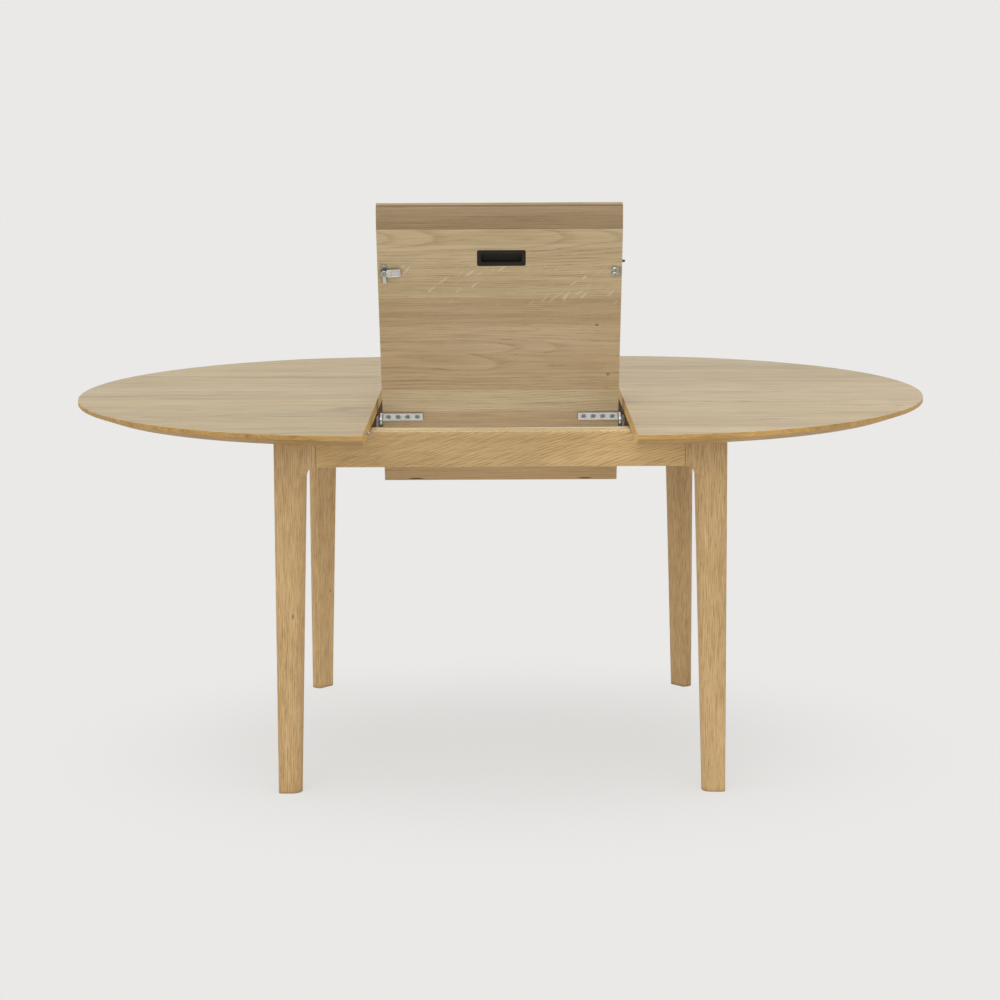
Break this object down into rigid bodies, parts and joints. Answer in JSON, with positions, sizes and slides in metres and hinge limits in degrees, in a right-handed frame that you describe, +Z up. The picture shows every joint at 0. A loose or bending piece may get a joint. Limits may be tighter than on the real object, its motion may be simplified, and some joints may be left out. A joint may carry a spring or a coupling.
{
  "type": "round extending table",
  "caption": "Round oak dining table: two half tops slide apart over a four-legged frame and a folding leaf swings up from inside to fill the gap.",
  "frame": {"origin": "floor level, at the middle of the four legs and of the opened top", "axes": "+X along the travel of the tops, to the right seen from the side the leaf leans to; -Y towards that side; +Z up"},
  "size_m": [1.8078, 1.29, 1.1821],
  "materials": {
    "top_oak": "matt lacquered oak, pale greyish beige, grain along the slide direction",
    "leaf_oak": "matt lacquered oak planks",
    "frame_oak": "matt lacquered golden oak",
    "inner_wood": "plain sanded hardwood",
    "zinc_steel": "bright zinc plated",
    "slide_steel": "rolled zinc plated sheet",
    "dark_metal": "blackened steel",
    "black_plastic": "moulded black plastic"
  },
  "bodies": {
    "frame": {"leg_front_left": "frame_oak", "leg_front_right": "frame_oak", "leg_back_left": "frame_oak", "leg_back_right": "frame_oak", "apron_front": "frame_oak", "apron_back": "frame_oak", "apron_left": "frame_oak", "apron_right": "frame_oak", "bearer_left": "inner_wood", "bearer_right": "inner_wood", "slide_rail_front": "inner_wood", "slide_rail_back": "inner_wood", "corner_block_front_left": "inner_wood", "corner_block_front_right": "inner_wood", "corner_block_back_left": "inner_wood", "corner_block_back_right": "inner_wood", "leg_bolts": "zinc_steel", "channel_front_left": "slide_steel", "channel_front_right": "slide_steel", "channel_back_left": "slide_steel", "channel_back_right": "slide_steel", "pivot_bracket_left": "zinc_steel", "pivot_bracket_right": "zinc_steel", "leaf_rest_left": "zinc_steel", "leaf_rest_right": "zinc_steel", "frame_screws": "zinc_steel"},
    "left_runners": {"runner_front_left": "slide_steel", "runner_back_left": "slide_steel"},
    "right_runners": {"runner_front_right": "slide_steel", "runner_back_right": "slide_steel"},
    "left_top": {"top_left": "top_oak", "arm_front_left": "slide_steel", "arm_back_left": "slide_steel", "top_left_pins": "zinc_steel", "top_left_keepers": "zinc_steel"},
    "right_top": {"top_right": "top_oak", "arm_front_right": "slide_steel", "arm_back_right": "slide_steel", "top_right_latch_plates": "zinc_steel"},
    "right_front_lever": {"latch_lever_right_front": "zinc_steel"},
    "right_back_lever": {"latch_lever_right_back": "zinc_steel"},
    "leaf_pivot": {"pivot_pins": "zinc_steel"},
    "front_leaf": {"leaf_front": "leaf_oak", "strap_left": "zinc_steel", "strap_right": "zinc_steel", "strap_screws": "zinc_steel", "leaf_pull": "black_plastic", "leaf_front_pin": "dark_metal", "leaf_front_hinge_cups": "zinc_steel", "leaf_front_latch_plate": "zinc_steel", "leaf_front_keeper": "zinc_steel"},
    "front_leaf_lever": {"latch_lever_leaf_front": "zinc_steel"},
    "back_leaf": {"leaf_back": "leaf_oak", "leaf_back_hinge_cups": "zinc_steel", "leaf_back_latch_plate": "zinc_steel", "leaf_back_keeper": "zinc_steel"},
    "back_leaf_lever": {"latch_lever_leaf_back": "zinc_steel"}
  },
  "joints": [
    {"name": "left_top_slide", "type": "slide", "parent": "frame", "child": "left_top", "axis": [1, 0, 0], "range_m": [0, 0.011]},
    {"name": "left_runner_slide", "type": "slide", "parent": "frame", "child": "left_runners", "axis": [1, 0, 0], "range_m": [0, 0.0055]},
    {"name": "right_top_slide", "type": "slide", "parent": "frame", "child": "right_top", "axis": [-1, 0, 0], "range_m": [0, 0.011]},
    {"name": "right_runner_slide", "type": "slide", "parent": "frame", "child": "right_runners", "axis": [-1, 0, 0], "range_m": [0, 0.0055]},
    {"name": "right_front_latch", "type": "hinge", "parent": "right_top", "child": "right_front_lever", "pos_m": [0.2725, -0.506, 0.73], "axis": [0, 0, 1], "range_deg": [0, 94]},
    {"name": "right_back_latch", "type": "hinge", "parent": "right_top", "child": "right_back_lever", "pos_m": [0.2725, 0.506, 0.73], "axis": [0, 0, -1], "range_deg": [0, 94]},
    {"name": "leaf_swing", "type": "hinge", "parent": "frame", "child": "leaf_pivot", "pos_m": [0, -0.16125, 0.72], "axis": [1, 0, 0], "range_deg": [-114, 0]},
    {"name": "leaf_lay_down", "type": "hinge", "parent": "leaf_pivot", "child": "front_leaf", "pos_m": [0, -0.16125, 0.72], "axis": [1, 0, 0], "range_deg": [0, 66]},
    {"name": "leaf_unfold", "type": "hinge", "parent": "front_leaf", "child": "back_leaf", "pos_m": [0, -0.05885, 0.58908], "axis": [1, 0, 0], "range_deg": [-180, 0]},
    {"name": "front_leaf_latch", "type": "hinge", "parent": "front_leaf", "child": "front_leaf_lever", "pos_m": [-0.234, -0.29234, 1.03901], "axis": [0, 0.9135, 0.4067], "range_deg": [0, 94]},
    {"name": "back_leaf_latch", "type": "hinge", "parent": "back_leaf", "child": "back_leaf_lever", "pos_m": [-0.234, -0.23698, 1.06366], "axis": [0, 0.9135, 0.4067], "range_deg": [0, 94]}
  ],
  "couplings": [
    {"joint": "left_runner_slide", "follows": "left_top_slide", "ratio": 0.5},
    {"joint": "right_runner_slide", "follows": "right_top_slide", "ratio": 0.5},
    {"joint": "leaf_unfold", "follows": "leaf_lay_down", "ratio": -2.7273}
  ]
}
